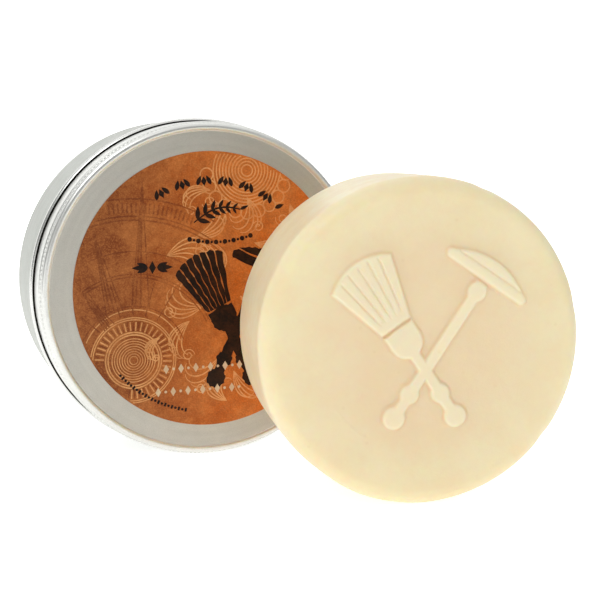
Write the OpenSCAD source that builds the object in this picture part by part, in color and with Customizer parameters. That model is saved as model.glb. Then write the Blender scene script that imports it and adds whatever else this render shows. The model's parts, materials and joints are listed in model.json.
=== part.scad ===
// Shaving soap puck standing in front of its screw-lid aluminium tin.
// Both pieces stand on their round sides. The tin's lid faces -Y and +Z is up.
// The origin is at the middle of the underside of the whole set's bounding box.

/* [Soap puck] */
// Radius of the soap puck
puck_r = 38.1; // [30:0.1:39.8]
// Thickness of the soap puck, without its raised emblem
puck_t = 32; // [20:0.5:40]
// Radius of the rounded edge round the front face
puck_front_edge = 4; // [1:0.1:5]
// Radius of the rounded edge round the back face
puck_back_edge = 1.8; // [0.5:0.1:4]

/* [Emblem] */
// Height of the raised emblem on the front face of the puck
emblem_rise = 0.9; // [0.3:0.1:1.5]
// Distance of the crossing below the middle of the face, as a negative height
emblem_up = -6; // [-10:0.5:0]
// Length of the brush and of the razor
tool_len = 46; // [36:1:50]
// Distance of the crossing from the end of each handle
tool_cross = 16; // [12:0.5:20]
// Angle between each tool and the vertical
tool_lean = 34; // [25:1:45]
// Width of the handles
handle_w = 3.4; // [2:0.1:5]
// Radius of the knob at the end of each handle
knob_r = 3; // [2:0.1:4]
// Distance of the ring on each handle from the handle's end
ring_y = 9.5; // [8:0.5:12]
// Radius of the rings on the handles
ring_r = 2.6; // [2:0.1:4]
// Width of the brush's hair at its crown
hair_w = 17; // [10:0.5:20]
// Height of the brush's hair
hair_h = 18; // [12:0.5:22]
// Width of the collar under the hair
collar_w = 8.4; // [5:0.1:10]
// Height of that collar
collar_h = 4; // [2:0.5:6]
// Height of the rounded crown of the hair and of the razor's cap
crown_h = 3; // [1:0.1:4]
// Width of the razor's head
head_w = 23; // [14:0.5:26]
// Height of the bar in the razor's head
bar_h = 3; // [2:0.1:4]

/* [Tin] */
// Space round the puck inside the mouth of the tin
puck_room = 3.5; // [1:0.1:12]
// Space between the puck's emblem and the liner above it
puck_headroom = 4.85; // [1:0.05:12]
// Thickness of the aluminium sheet
sheet_t = 0.3; // [0.2:0.01:0.5]
// Radius of the corner between the tin's side and underside
base_corner = 2; // [1:0.1:4]
// Height of the ring foot that the underside stands on
foot_rise = 0.6; // [0.4:0.05:1.5]
// Width of the flat ring foot
foot_w = 2.4; // [1:0.1:6]
// Radius of the rolled bead at the top of the tin's body
bead_r = 1.1; // [0.8:0.1:2]
// Distance by which that bead stands out from the body's side
bead_out = 0.6; // [0.2:0.05:0.9]
// Radius of the hollow inside the roll round the mouth of the tin
mouth_hollow = 0.2; // [0.1:0.05:0.6]

/* [Lid] */
// Overall height of the lid
lid_h = 10.2; // [9:0.1:14]
// Distance by which the lid's side is set in from the body's side
lid_set_in = 0.4; // [0:0.05:0.8]
// Gap between the closed lid and the body's bead
lid_gap = 0.4; // [0.2:0.05:1]
// Height of the lid's rim above its flat top panel
rim_rise = 0.4; // [0.2:0.05:1]
// Radius of the rounded shoulder round the lid's rim
shoulder_r = 1.2; // [1.1:0.1:2]
// Height of the grip band under the shoulder
grip_h = 1.2; // [0.6:0.1:3]
// Depth of the grip band below the lid's side
grip_d = 0.4; // [0.2:0.05:0.6]
// Radius of the hollow inside the roll round the lid's lower edge
lid_hollow = 0.05; // [0.03:0.01:0.2]
// Thickness of the foam liner inside the lid
liner_t = 1; // [0.5:0.1:2]
// Side clearance between the liner and the lid's wall
liner_side = 0.6; // [0.5:0.1:2]
// Clearance on each face of the liner
liner_gap = 0.05; // [0.02:0.01:0.2]

/* [Screw thread] */
// Rise of the lid in one turn
thread_pitch = 3.2; // [3:0.1:4]
// Number of turns of thread on the body and in the lid
thread_turns = 1.25; // [0.75:0.05:1.3]
// Overlap of the two threads, which holds the lid on
thread_hold = 0.1; // [0.05:0.01:0.3]
// Clearance between the body's thread and the lid's rolled edge
thread_gap = 0.1; // [0.05:0.01:0.3]
// Width of a thread at its wall
thread_root = 1.3; // [1:0.05:1.4]
// Width of a thread at its crest
thread_crest = 0.5; // [0.3:0.05:0.8]

/* [Labels] */
// Distance of the lid label's edge from the edge of the flat panel
lid_label_margin = 5.4; // [1:0.1:20]
// Distance of the underside label's edge from the ring foot
base_label_margin = 5; // [1:0.1:20]
// Thickness of the label paper
label_t = 0.15; // [0.1:0.01:0.3]
// Distance sideways of the lid label from the middle of the lid
label_aside = 0.35; // [0:0.05:0.8]
// Distance upwards of the lid label from the middle of the lid
label_up = 0.25; // [0:0.05:0.8]

/* [Places] */
// Distance of the middle of the puck's back face to the right of the tin's axis
puck_aside = 39.1; // [20:0.1:80]
// Clear space between the lid's rim and the nearest part of the puck
puck_gap = 20.4; // [14:0.1:60]
// Angle by which the puck faces to the left of the lid
puck_turn = 9.3; // [0:0.1:15]

/* [Hidden] */

$fn = 96;
ARC_STEPS = 8;            // straight pieces in each small rounded stretch
THREAD_STEPS = 72;        // straight pieces in one turn of thread
THREAD_SUNK = 0.12;       // depth of a thread's root inside its wall
THREAD_END = 0.02;        // height that is left at a thread's ends
THREAD_FADE = 0.1;        // share of a thread's length in which each end fades out
EMBLEM_SUNK = 1;          // depth of the emblem's root inside the puck

// Rolled edges and the space that they leave for the thread
mouth_roll = sheet_t + mouth_hollow;
lid_roll = sheet_t + lid_hollow;
thread_room = 2 * (2 * lid_roll - sheet_t + thread_gap) + thread_hold;
thread_d = (thread_room + thread_hold) / 2;

// Radii from the tin's axis, outwards from the puck
neck_r = puck_r + puck_room + 2 * mouth_roll;
lid_in_r = neck_r + thread_room;
lid_r = lid_in_r + sheet_t;
body_r = lid_r + lid_set_in;
tin_r = body_r + bead_out;
shoulder_mid_r = lid_r - grip_d - shoulder_r;
rim_angle = 180 - asin((shoulder_r - rim_rise) / shoulder_r);
panel_r = shoulder_mid_r + shoulder_r * cos(rim_angle);
foot_out_r = body_r - base_corner;
foot_in_r = foot_out_r - foot_w;
liner_r = lid_r - grip_d - sheet_t - liner_side;
lid_label_r = panel_r - lid_label_margin;
base_label_r = foot_in_r - foot_rise - base_label_margin;

// Heights above the tin's underside, upwards from its floor
liner_z = foot_rise + sheet_t + puck_t + emblem_rise + puck_headroom;
mouth_z = liner_z - liner_gap;
panel_z = liner_z + liner_t + liner_gap + sheet_t;
tin_h = panel_z + rim_rise;
lid_low_z = tin_h - lid_h;
bead_top_z = lid_low_z - lid_gap;
thread_z = bead_top_z + (mouth_z - mouth_roll - bead_top_z - thread_turns * thread_pitch) / 2;

// Reach of the puck to the right, towards the tin and to the front, from its back face's middle
edge_r = puck_r - puck_back_edge;
puck_right = puck_aside + edge_r * cos(puck_turn) + puck_back_edge * (1 - sin(puck_turn));
puck_back = edge_r * sin(puck_turn) + puck_back_edge * (1 - cos(puck_turn));
puck_front = (puck_t - puck_front_edge) * cos(puck_turn)
    + (puck_r - puck_front_edge) * sin(puck_turn) + puck_front_edge;

// Places of the two pieces, so that the set's bounding box is centred on the origin
tin_x = (tin_r - max(tin_r, puck_right)) / 2;
tin_back_y = (tin_h + puck_gap + puck_back + puck_front) / 2;
puck_back_y = tin_back_y - tin_h - puck_gap - puck_back;

// Points along an arc round [r, z] from angle a to angle b
function arc(centre, radius, a, b) = [
    for (i = [0:ARC_STEPS])
        let (t = a + (b - a) * i / ARC_STEPS)
        centre + radius * [cos(t), sin(t)]
];

// Unit vector square to the step from p to q, on its left
function left_of(p, q) = let (d = (q - p) / norm(q - p)) [-d.y, d.x];

// Corner i of a path, moved to the left of the path by t
function offset_point(path, i, t) =
    let (last = len(path) - 1)
    let (before = i == 0 ? left_of(path[0], path[1]) : left_of(path[i - 1], path[i]))
    let (after = i == last ? before : left_of(path[i], path[i + 1]))
    path[i] + t * (before + after) / (1 + before * after);

// Sheet of constant thickness whose outer face follows a path and whose body lies on its left
module sheet(path) {
    inner = [for (i = [len(path) - 1:-1:0]) offset_point(path, i, sheet_t)];
    polygon(concat(path, inner));
}

// Turned solid from a half outline in radius and height
module turned() {
    rotate_extrude() children();
}

// One ring of a thread's section: the wall side, then the crest side
function thread_ring(wall_r, side, angle, z, height) =
    let (root_r = wall_r - side * THREAD_SUNK)
    let (crest_r = wall_r + side * height)
    [
        for (p = [
            [root_r, -thread_root / 2], [crest_r, -thread_crest / 2],
            [crest_r, thread_crest / 2], [root_r, thread_root / 2]
        ])
        [p[0] * cos(angle), p[0] * sin(angle), z + p[1]]
    ];

// Right-handed thread on a round wall; side is 1 on the outside of it and -1 on the inside
module thread(wall_r, side, start_angle) {
    steps = round(THREAD_STEPS * thread_turns);
    rings = [
        for (i = [0:steps])
            let (t = i / steps)
            let (fade = min(1, min(t, 1 - t) / THREAD_FADE))
            thread_ring(
                wall_r, side, start_angle + 360 * thread_turns * t,
                thread_z + thread_turns * thread_pitch * t,
                THREAD_END + (thread_d - THREAD_END) * fade
            )
    ];
    points = [for (ring = rings) for (p = ring) p];
    sides = [
        for (i = [0:steps - 1]) for (k = [0:3])
            let (a = 4 * i + k, b = 4 * i + (k + 1) % 4)
            side > 0 ? [a, b, b + 4, a + 4] : [a + 4, b + 4, b, a]
    ];
    n = 4 * steps;
    ends = side > 0
        ? [[3, 2, 1, 0], [n, n + 1, n + 2, n + 3]]
        : [[0, 1, 2, 3], [n + 3, n + 2, n + 1, n]];
    polyhedron(points, concat(sides, ends), convexity = 6);
}

// Knob and straight handle that both tools share, handle end at [0, 0]
module handle_outline(length) {
    translate([0, knob_r]) circle(knob_r);
    translate([-handle_w / 2, knob_r]) square([handle_w, length - knob_r]);
    translate([0, ring_y]) circle(ring_r);
}

// Outline of a shaving brush with its hair at the top
module brush_outline() {
    collar_y = tool_len - hair_h - collar_h;
    crown_r = (hair_w * hair_w / 4 + crown_h * crown_h) / (2 * crown_h);
    crown_half = asin(hair_w / 2 / crown_r);
    handle_outline(collar_y);
    translate([0, collar_y]) circle(collar_w / 2);
    translate([-collar_w / 2, collar_y]) square([collar_w, collar_h]);
    polygon(concat(
        [[-collar_w / 2, collar_y + collar_h], [collar_w / 2, collar_y + collar_h]],
        arc([0, tool_len - crown_r], crown_r, 90 - crown_half, 90 + crown_half)
    ));
}

// Outline of a safety razor with its head at the top
module razor_outline() {
    bar_y = tool_len - crown_h - bar_h;
    bar_half = head_w / 2 - bar_h / 2;
    cap_r = (bar_half * bar_half + crown_h * crown_h) / (2 * crown_h);
    cap_half = asin(bar_half / cap_r);
    handle_outline(bar_y);
    translate([0, bar_y - ring_r]) circle(ring_r);
    translate([-bar_half, bar_y]) square([2 * bar_half, bar_h]);
    for (side = [-1, 1]) translate([side * bar_half, bar_y + bar_h / 2]) circle(bar_h / 2);
    polygon(arc([0, tool_len - cap_r], cap_r, 90 - cap_half, 90 + cap_half));
}

// Brush and razor crossed on their handles
module emblem_outline() {
    translate([0, emblem_up]) {
        rotate(tool_lean) translate([0, -tool_cross]) brush_outline();
        rotate(-tool_lean) translate([0, -tool_cross]) razor_outline();
    }
}

// Stands a turned piece on its round side, its top facing -Y, with its underside at y
module facing_front(x, y, r) {
    translate([x, y, r]) rotate([90, 0, 0]) children();
}

module in_tin_place() {
    facing_front(tin_x, tin_back_y, tin_r) children();
}

module in_puck_place() {
    translate([tin_x + puck_aside, puck_back_y, puck_r])
        rotate([0, 0, -puck_turn]) rotate([90, 0, 0]) children();
}

// Body of the tin: ring foot, side, bead, neck with its thread, and rolled mouth
module tin_base() {
    path = concat(
        [[0, foot_rise], [foot_in_r - foot_rise, foot_rise], [foot_in_r, 0]],
        arc([foot_out_r, base_corner], base_corner, -90, 0),
        arc([tin_r - bead_r, bead_top_z - bead_r], bead_r, -acos((bead_r - bead_out) / bead_r), 90),
        [[neck_r, bead_top_z]],
        arc([neck_r - mouth_roll, mouth_z - mouth_roll], mouth_roll, 0, 180)
    );
    color("silver") in_tin_place() {
        turned() sheet(path);
        thread(neck_r, 1, 0);
    }
}

// Round paper label in the recess of the underside
module base_label() {
    color("ivory") in_tin_place()
        translate([0, 0, foot_rise - label_t]) cylinder(h = label_t, r = base_label_r);
}

// Screw lid: flat panel, raised rim, grip band, side with its inner thread, and rolled edge
module tin_lid() {
    path = concat(
        arc([lid_r - lid_roll, lid_low_z + lid_roll], lid_roll, -180, 0),
        [
            [lid_r, tin_h - shoulder_r - grip_h - grip_d],
            [lid_r - grip_d, tin_h - shoulder_r - grip_h]
        ],
        arc([shoulder_mid_r, tin_h - shoulder_r], shoulder_r, 0, rim_angle),
        [[0, panel_z]]
    );
    color("gainsboro") in_tin_place() {
        turned() sheet(path);
        thread(lid_in_r, -1, 180);
    }
}

// Foam disc that seals the mouth of the tin
module lid_liner() {
    color("white") in_tin_place()
        translate([0, 0, liner_z]) cylinder(h = liner_t, r = liner_r);
}

// Printed round label on the lid
module lid_label() {
    color("peru") in_tin_place()
        translate([label_aside, label_up, panel_z]) cylinder(h = label_t, r = lid_label_r);
}

// Moulded soap with rounded edges and a raised emblem
module soap_puck() {
    outline = concat(
        [[0, 0]],
        arc([puck_r - puck_back_edge, puck_back_edge], puck_back_edge, -90, 0),
        arc([puck_r - puck_front_edge, puck_t - puck_front_edge], puck_front_edge, 0, 90),
        [[0, puck_t]]
    );
    color("cornsilk") in_puck_place() {
        turned() polygon(outline);
        translate([0, 0, puck_t - EMBLEM_SUNK])
            linear_extrude(EMBLEM_SUNK + emblem_rise) emblem_outline();
    }
}

tin_base();
base_label();
tin_lid();
lid_liner();
lid_label();
soap_puck();
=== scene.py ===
import json
import math

import bpy
import numpy as np
from mathutils import Matrix, Vector


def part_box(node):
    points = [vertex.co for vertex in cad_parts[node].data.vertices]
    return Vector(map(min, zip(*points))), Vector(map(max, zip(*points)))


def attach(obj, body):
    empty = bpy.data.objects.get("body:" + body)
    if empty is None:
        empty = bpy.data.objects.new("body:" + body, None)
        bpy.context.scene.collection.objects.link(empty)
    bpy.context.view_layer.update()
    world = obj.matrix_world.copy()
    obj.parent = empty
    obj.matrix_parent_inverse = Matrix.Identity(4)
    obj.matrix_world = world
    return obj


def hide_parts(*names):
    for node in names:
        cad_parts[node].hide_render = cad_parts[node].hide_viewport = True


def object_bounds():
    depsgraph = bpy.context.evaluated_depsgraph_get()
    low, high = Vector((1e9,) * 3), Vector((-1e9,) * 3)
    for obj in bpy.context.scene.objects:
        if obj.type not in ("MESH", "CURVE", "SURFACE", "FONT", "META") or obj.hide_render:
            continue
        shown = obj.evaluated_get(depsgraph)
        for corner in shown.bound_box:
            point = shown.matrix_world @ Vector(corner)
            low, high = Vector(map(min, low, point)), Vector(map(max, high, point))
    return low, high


# A moulded puck of shaving soap in front of its screw-lid tin, in metres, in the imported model's frame.

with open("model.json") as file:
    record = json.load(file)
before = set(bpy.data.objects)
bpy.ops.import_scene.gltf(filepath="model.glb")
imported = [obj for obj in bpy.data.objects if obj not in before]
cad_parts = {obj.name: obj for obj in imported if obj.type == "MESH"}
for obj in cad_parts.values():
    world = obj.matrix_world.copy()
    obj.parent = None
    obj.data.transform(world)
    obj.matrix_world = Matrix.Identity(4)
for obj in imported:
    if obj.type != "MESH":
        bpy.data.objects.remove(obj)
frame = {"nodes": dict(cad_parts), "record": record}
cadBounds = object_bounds()
cadNodes = frame["nodes"]
mm = 0.001
print("frame loaded,", len(cadNodes), "nodes")


# Places, all from the frame

def mountNamed(name):
    return next(m for m in frame["record"]["mounts"] if m["name"] == name)


baseLow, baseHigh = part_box("tin_base")
lidLow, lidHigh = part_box("tin_lid")
lidLabelLow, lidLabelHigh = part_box("lid_label")
baseLabelLow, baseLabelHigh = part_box("base_label")
linerLow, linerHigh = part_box("lid_liner")

lidR = (lidHigh.x - lidLow.x) / 2
tinR = min(baseHigh.x - baseLow.x, baseHigh.z - baseLow.z) / 2    # over the rolled bead
tinX, tinZ = (lidHigh.x + lidLow.x) / 2, (lidHigh.z + lidLow.z) / 2
standUp = Matrix.Rotation(math.pi / 2, 4, "X")
tinPlace = Matrix.Translation((tinX, baseHigh.y, tinZ)) @ standUp   # local z: underside to lid, local y: up

tinTop = baseHigh.y - lidLow.y             # heights over the underside of the tin
mouthTop = baseHigh.y - baseLow.y
lidFoot = baseHigh.y - lidHigh.y
panelTop = baseHigh.y - lidLabelHigh.y
labelTop = baseHigh.y - lidLabelLow.y

puckBack, puckSide = mountNamed("puck_back"), mountNamed("puck_side")
puckR = puckSide["dims"]["r_mm"] * mm
puckTurn = math.atan2(puckBack["axis"][0], puckBack["axis"][1])
puckPlace = Matrix.Translation(puckBack["pos_m"]) @ Matrix.Rotation(-puckTurn, 4, "Z") @ standUp
toPuck = puckPlace.inverted()
puckDepth = max((toPuck @ v.co).z for v in cadNodes["soap_puck"].data.vertices)


# Mesh helpers: paths are lists of (radius, height) or (x, y)

def arc(cx, cy, radius, start, end, steps):
    angles = np.radians(np.linspace(start, end, steps + 1))
    return [(cx + radius * math.cos(a), cy + radius * math.sin(a)) for a in angles]


def insideOf(path, thickness):
    # the same path moved to its left, with mitred corners
    p = np.array(path)
    d = np.diff(p, axis=0)
    left = np.stack([-d[:, 1], d[:, 0]], 1) / np.linalg.norm(d, axis=1)[:, None]
    before, after = np.vstack([left[:1], left]), np.vstack([left, left[-1:]])
    moved = p + thickness * (before + after) / (1 + (before * after).sum(1))[:, None]
    return [tuple(q) for q in moved]


def eased(path, radius, minTurn=25):
    # rounds every sharp corner of a path
    out = [path[0]]
    for before, here, after in zip(path, path[1:], path[2:]):
        a, b = Vector(before) - Vector(here), Vector(after) - Vector(here)
        turn = 180 - math.degrees(a.angle(b, 0))
        if turn < minTurn:
            out.append(here)
            continue
        reach = min(radius, a.length * 0.45, b.length * 0.45)
        start, end = Vector(here) + a.normalized() * reach, Vector(here) + b.normalized() * reach
        for t in (0, 0.25, 0.5, 0.75, 1):
            mid = start * (1 - t) ** 2 + Vector(here) * 2 * t * (1 - t) + end * t * t
            out.append(tuple(mid))
    return out + [path[-1]]


def newPiece(name, verts, faces, place, material, smoothAngle=35):
    # verts are in the piece's own place, which the materials read as ownPlace
    verts = np.array(verts, float)
    mesh = bpy.data.meshes.new(name)
    mesh.from_pydata(verts.tolist(), [], faces)
    mesh.attributes.new("ownPlace", "FLOAT_VECTOR", "POINT").data.foreach_set("vector", verts.ravel())
    mesh.transform(place)
    turnOutwards(mesh)
    mesh.shade_smooth()
    mesh.set_sharp_from_angle(angle=math.radians(smoothAngle))
    mesh.materials.append(material)
    return newObject(name, mesh)


def newObject(name, data):
    thing = bpy.data.objects.new(name, data)
    bpy.context.scene.collection.objects.link(thing)
    return thing


def turnOutwards(mesh):
    p = np.empty(len(mesh.vertices) * 3)
    mesh.vertices.foreach_get("co", p)
    p = p.reshape(-1, 3)
    p -= p.mean(0)
    mesh.calc_loop_triangles()
    t = np.empty(len(mesh.loop_triangles) * 3, int)
    mesh.loop_triangles.foreach_get("vertices", t)
    a, b, c = p[t.reshape(-1, 3)].transpose(1, 0, 2)
    if (a * np.cross(b, c)).sum() < 0:
        mesh.flip_normals()


def spunMesh(outline, segments):
    # turns an outline that runs from the axis, round the piece and back to the axis
    verts, rows = [], []
    angles = np.linspace(0, 2 * math.pi, segments, endpoint=False)
    for r, z in outline:
        if r < 1e-7:
            rows.append([len(verts)])
            verts.append((0, 0, z))
        else:
            rows.append(list(range(len(verts), len(verts) + segments)))
            verts += [(r * math.cos(a), r * math.sin(a), z) for a in angles]
    return np.array(verts), bandFaces(rows, segments)


def spun(name, outline, segments, place, material):
    verts, faces = spunMesh(outline, segments)
    return newPiece(name, verts, faces, place, material)


def bandFaces(rows, segments):
    faces = []
    for low, high in zip(rows, rows[1:]):
        for i in range(segments):
            j = (i + 1) % segments
            if len(low) == 1:
                faces.append((low[0], high[j], high[i]))
            elif len(high) == 1:
                faces.append((low[i], low[j], high[0]))
            else:
                faces.append((low[i], low[j], high[j], high[i]))
    return faces


# Node helpers

def nodeTree(owner):
    owner.use_nodes = True
    tree = owner.node_tree
    tree.nodes.clear()
    return tree


def add(tree, kind, settings=None, **inputs):
    node = tree.nodes.new(kind)
    for key, value in (settings or {}).items():
        setattr(node, key, value)
    plugAll(tree, node, **inputs)
    return node


def plug(tree, node, socket, value):
    target = node.inputs[int(socket)] if socket.isdigit() else node.inputs[socket]
    if isinstance(value, bpy.types.NodeSocket):
        tree.links.new(value, target)
    else:
        target.default_value = value


def plugAll(tree, node, **inputs):
    for key, value in inputs.items():
        plug(tree, node, key.replace("_", " "), value)


def newMaterial(name):
    # also gives the place on the piece, for the textures
    material = bpy.data.materials.new(name)
    tree = nodeTree(material)
    place = add(tree, "ShaderNodeAttribute", {"attribute_type": "GEOMETRY", "attribute_name": "ownPlace"})
    return material, tree, place.outputs["Vector"]


def bumped(tree, height, strength, depth):
    return add(tree, "ShaderNodeBump", Height=height, Strength=strength, Distance=depth).outputs[0]


def setSurface(tree, **inputs):
    shader = add(tree, "ShaderNodeBsdfPrincipled", **inputs)
    add(tree, "ShaderNodeOutputMaterial", Surface=shader.outputs[0])


def maths(tree, operation, a, b=0.0):
    return add(tree, "ShaderNodeMath", {"operation": operation}, **{"0": a, "1": b}).outputs[0]


def plus(tree, a, b):
    return maths(tree, "ADD", a, b)


def minus(tree, a, b):
    return maths(tree, "SUBTRACT", a, b)


def times(tree, a, b):
    return maths(tree, "MULTIPLY", a, b)


def ratio(tree, a, b):
    return maths(tree, "DIVIDE", a, b)


def between(tree, value, low, high, fromZero=0.0, toOne=1.0):
    node = add(tree, "ShaderNodeMapRange", {"interpolation_type": "SMOOTHSTEP"}, Value=value,
               From_Min=low, From_Max=high, To_Min=fromZero, To_Max=toOne)
    return node.outputs["Result"]


def noise(tree, where, scale, detail, roughness):
    node = add(tree, "ShaderNodeTexNoise", Vector=where, Scale=scale, Detail=detail, Roughness=roughness)
    return node.outputs["Fac"]


def blendColor(tree, share, a, b, mode="MIX"):
    settings = {"data_type": "RGBA", "blend_type": mode}
    return add(tree, "ShaderNodeMix", settings, **{"0": share, "6": a, "7": b}).outputs[2]


def rgb(r, g, b):
    # a colour given as it looks on screen, from 0 to 255, made linear
    def linear(v):
        return v / 12.92 if v < 0.0404 else ((v + 0.055) / 1.055) ** 2.4
    return tuple(linear(v / 255) for v in (r, g, b)) + (1.0,)


def startGroup(name, values, outputs, kind="Float"):
    # a group with a Vector, a number for each of the values, and outputs of one kind
    group = bpy.data.node_groups.new(name, "ShaderNodeTree")
    group.interface.new_socket("Vector", in_out="INPUT", socket_type="NodeSocketVector")
    for label, value in values.items():
        socket = group.interface.new_socket(label, in_out="INPUT", socket_type="NodeSocketFloat")
        socket.default_value = value
    for label in outputs:
        group.interface.new_socket(label, in_out="OUTPUT", socket_type="NodeSocket" + kind)
    return group, group.nodes.new("NodeGroupInput").outputs, group.nodes.new("NodeGroupOutput")


def placeGroup(tree, group, **inputs):
    return add(tree, "ShaderNodeGroup", {"node_tree": group}, **inputs).outputs


# Shared effects, one group each

def makeRoundCoords():
    # place on a turned piece: height, distance from the axis, and the unit vector away from the axis
    g, given, out = startGroup("roundCoords", {}, ("Height", "Reach", "Across", "Up"))
    x, y, z = add(g, "ShaderNodeSeparateXYZ", Vector=given["Vector"]).outputs
    reach = maths(g, "SQRT", plus(g, times(g, x, x), times(g, y, y)))
    safe = plus(g, reach, 1e-6)
    plugAll(g, out, Height=z, Reach=reach, Across=ratio(g, x, safe), Up=ratio(g, y, safe))
    return g


def makeMottle():
    # cloudy patches with a finer break-up on top
    g, given, out = startGroup("mottle", {"Patch Size": 0.01, "Break Up": 0.4}, ("Mask", "Fine"))
    grow = ratio(g, 1.0, given["Patch Size"])
    large = noise(g, given["Vector"], grow, 3.0, 0.55)
    fine = noise(g, given["Vector"], times(g, grow, 7.3), 4.0, 0.65)
    mixed = add(g, "ShaderNodeMix", {"data_type": "FLOAT"}, **{"0": given["Break Up"], "2": large, "3": fine})
    plugAll(g, out, Mask=between(g, mixed.outputs[0], 0.34, 0.66), Fine=fine)
    return g


def makeGrain():
    # tight grain with a few deeper specks, as a height and as a mask
    g, given, out = startGroup("grain", {"Grain Size": 0.0003, "Specks": 0.2}, ("Height", "Speck"))
    scale = ratio(g, 1.0, given["Grain Size"])
    tight = noise(g, given["Vector"], scale, 2.0, 0.6)
    cells = add(g, "ShaderNodeTexVoronoi", {"feature": "F1"}, Vector=given["Vector"],
                Scale=times(g, scale, 0.09))
    speck = times(g, between(g, cells.outputs["Distance"], 0.02, 0.11, 1.0, 0.0), given["Specks"])
    plugAll(g, out, Height=minus(g, tight, speck), Speck=speck)
    return g


def makeSpunLines():
    # the fine turned lines and streaks that run round a piece
    g, given, out = startGroup(
        "spunLines", {"Line Width": 0.0002, "Line Length": 0.02}, ("Height", "Streak"))
    at = placeGroup(g, roundCoords, Vector=given["Vector"])
    over = ratio(g, plus(g, at["Height"], at["Reach"]), given["Line Width"])
    turns = ratio(g, 0.04, given["Line Length"])
    x, y = times(g, at["Across"], turns), times(g, at["Up"], turns)
    fineAt = add(g, "ShaderNodeCombineXYZ", X=x, Y=y, Z=over).outputs[0]
    wideAt = add(g, "ShaderNodeCombineXYZ", X=x, Y=y, Z=times(g, over, 0.12)).outputs[0]
    streak = between(g, noise(g, wideAt, 1.0, 2.0, 0.5), 0.35, 0.65)
    plugAll(g, out, Height=noise(g, fineAt, 1.0, 3.0, 0.7), Streak=streak)
    return g


def makeEdgeWear():
    # lighter on raised edges, broken up by noise
    g, given, out = startGroup("edgeWear", {"Start": 0.52, "End": 0.6}, ("Mask",))
    sharp = between(g, add(g, "ShaderNodeNewGeometry").outputs["Pointiness"], given["Start"], given["End"])
    broken = between(g, noise(g, given["Vector"], 900.0, 3.0, 0.6), 0.35, 0.6)
    plugAll(g, out, Mask=times(g, sharp, broken))
    return g


roundCoords = makeRoundCoords()
mottle = makeMottle()
grain = makeGrain()
spunLines = makeSpunLines()
edgeWear = makeEdgeWear()
print("shader groups made")


# Soap puck

soapLook = {
    "emblemRise": 0.9 * mm,
    "frontEdge": 4.0 * mm,
    "backEdge": 1.8 * mm,
    "segments": 640,
    "faceStep": 0.27 * mm,        # ring spacing where the emblem is, out to emblemReach
    "emblemReach": 28 * mm,
    "wallRings": 44,
    "emblemSlope": 1.15 * mm,     # width of the rounded side of the emblem
    "waviness": 0.09 * mm,
    "middle": rgb(241, 222, 186),
    "rim": rgb(243, 232, 194),
    "emblemTop": rgb(244, 233, 202),
    "deep": rgb(232, 200, 154),
    "speck": rgb(214, 178, 130),
    "cloudSize": 16 * mm,
    "cloudiness": 0.22,
    "grainSize": 0.5 * mm,
    "streakWidth": 1.1 * mm,      # streaks round the side
    "streakLength": 13 * mm,
    "streakiness": 0.26,
    "scatter": (1.0, 0.62, 0.34),
    "scatterDepth": 4.5 * mm,
    # soft knocks on the front edge: angle in degrees, width and depth in millimetres
    "knocks": ((68, 1.5, 0.3), (152, 2.4, 0.22), (214, 3.0, 0.3), (231, 8.5, 0.55), (322, 2.0, 0.25),
               (12, 2.6, 0.2)),
    # the thin line that the mould leaves on part of a circle, from and to an angle in degrees
    "seamR": 25.2 * mm, "seamRise": 0.1 * mm, "seamWidth": 0.22 * mm, "seamFrom": 212, "seamTo": 243,
}
emblem = {                        # sizes in millimetres
    "up": -6, "length": 46, "cross": 16, "lean": 34, "handle": 3.4, "knob": 3, "ringAt": 9.5, "ring": 2.6,
    "hairWidth": 17, "hairHeight": 18, "collarWidth": 8.4, "collarHeight": 4, "crown": 3,
    "headWidth": 23, "bar": 3,
}
emblem["hairFoot"] = emblem["length"] - emblem["hairHeight"]
emblem["collarFoot"] = emblem["hairFoot"] - emblem["collarHeight"]
emblem["barFoot"] = emblem["length"] - emblem["crown"] - emblem["bar"]


def bowRadius(half, rise):
    return (half ** 2 + rise ** 2) / (2 * rise)


def toDisc(x, y, cx, cy, r):
    return np.hypot(x - cx, y - cy) - r


def toBox(x, y, cx, cy, w, h):
    dx, dy = np.abs(x - cx) - w / 2, np.abs(y - cy) - h / 2
    return np.hypot(np.maximum(dx, 0), np.maximum(dy, 0)) + np.minimum(np.maximum(dx, dy), 0)


def softUnion(parts, k=0.5):
    out = parts[0]
    for part in parts[1:]:
        h = np.clip(0.5 + 0.5 * (part - out) / k, 0, 1)
        out = part * (1 - h) + out * h - k * h * (1 - h)
    return out


def handleDistance(x, y, e, length):
    return [toDisc(x, y, 0, e["knob"], e["knob"]),
            toBox(x, y, 0, (e["knob"] + length) / 2, e["handle"], length - e["knob"]),
            toDisc(x, y, 0, e["ringAt"], e["ring"])]


def brushDistance(x, y, e):
    collarY, hairFoot = e["collarFoot"], e["hairFoot"]
    crownR = bowRadius(e["hairWidth"] / 2, e["crown"])
    slope = (e["hairWidth"] - e["collarWidth"]) / 2 / (e["hairHeight"] - e["crown"])
    sides = (np.abs(x) - e["collarWidth"] / 2 - slope * (y - hairFoot)) / math.hypot(1, slope)
    hair = np.maximum(np.maximum(sides, hairFoot - y), toDisc(x, y, 0, e["length"] - crownR, crownR))
    return softUnion(handleDistance(x, y, e, collarY) + [
        toDisc(x, y, 0, collarY, e["collarWidth"] / 2),
        toBox(x, y, 0, collarY + e["collarHeight"] / 2, e["collarWidth"], e["collarHeight"]), hair])


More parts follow.
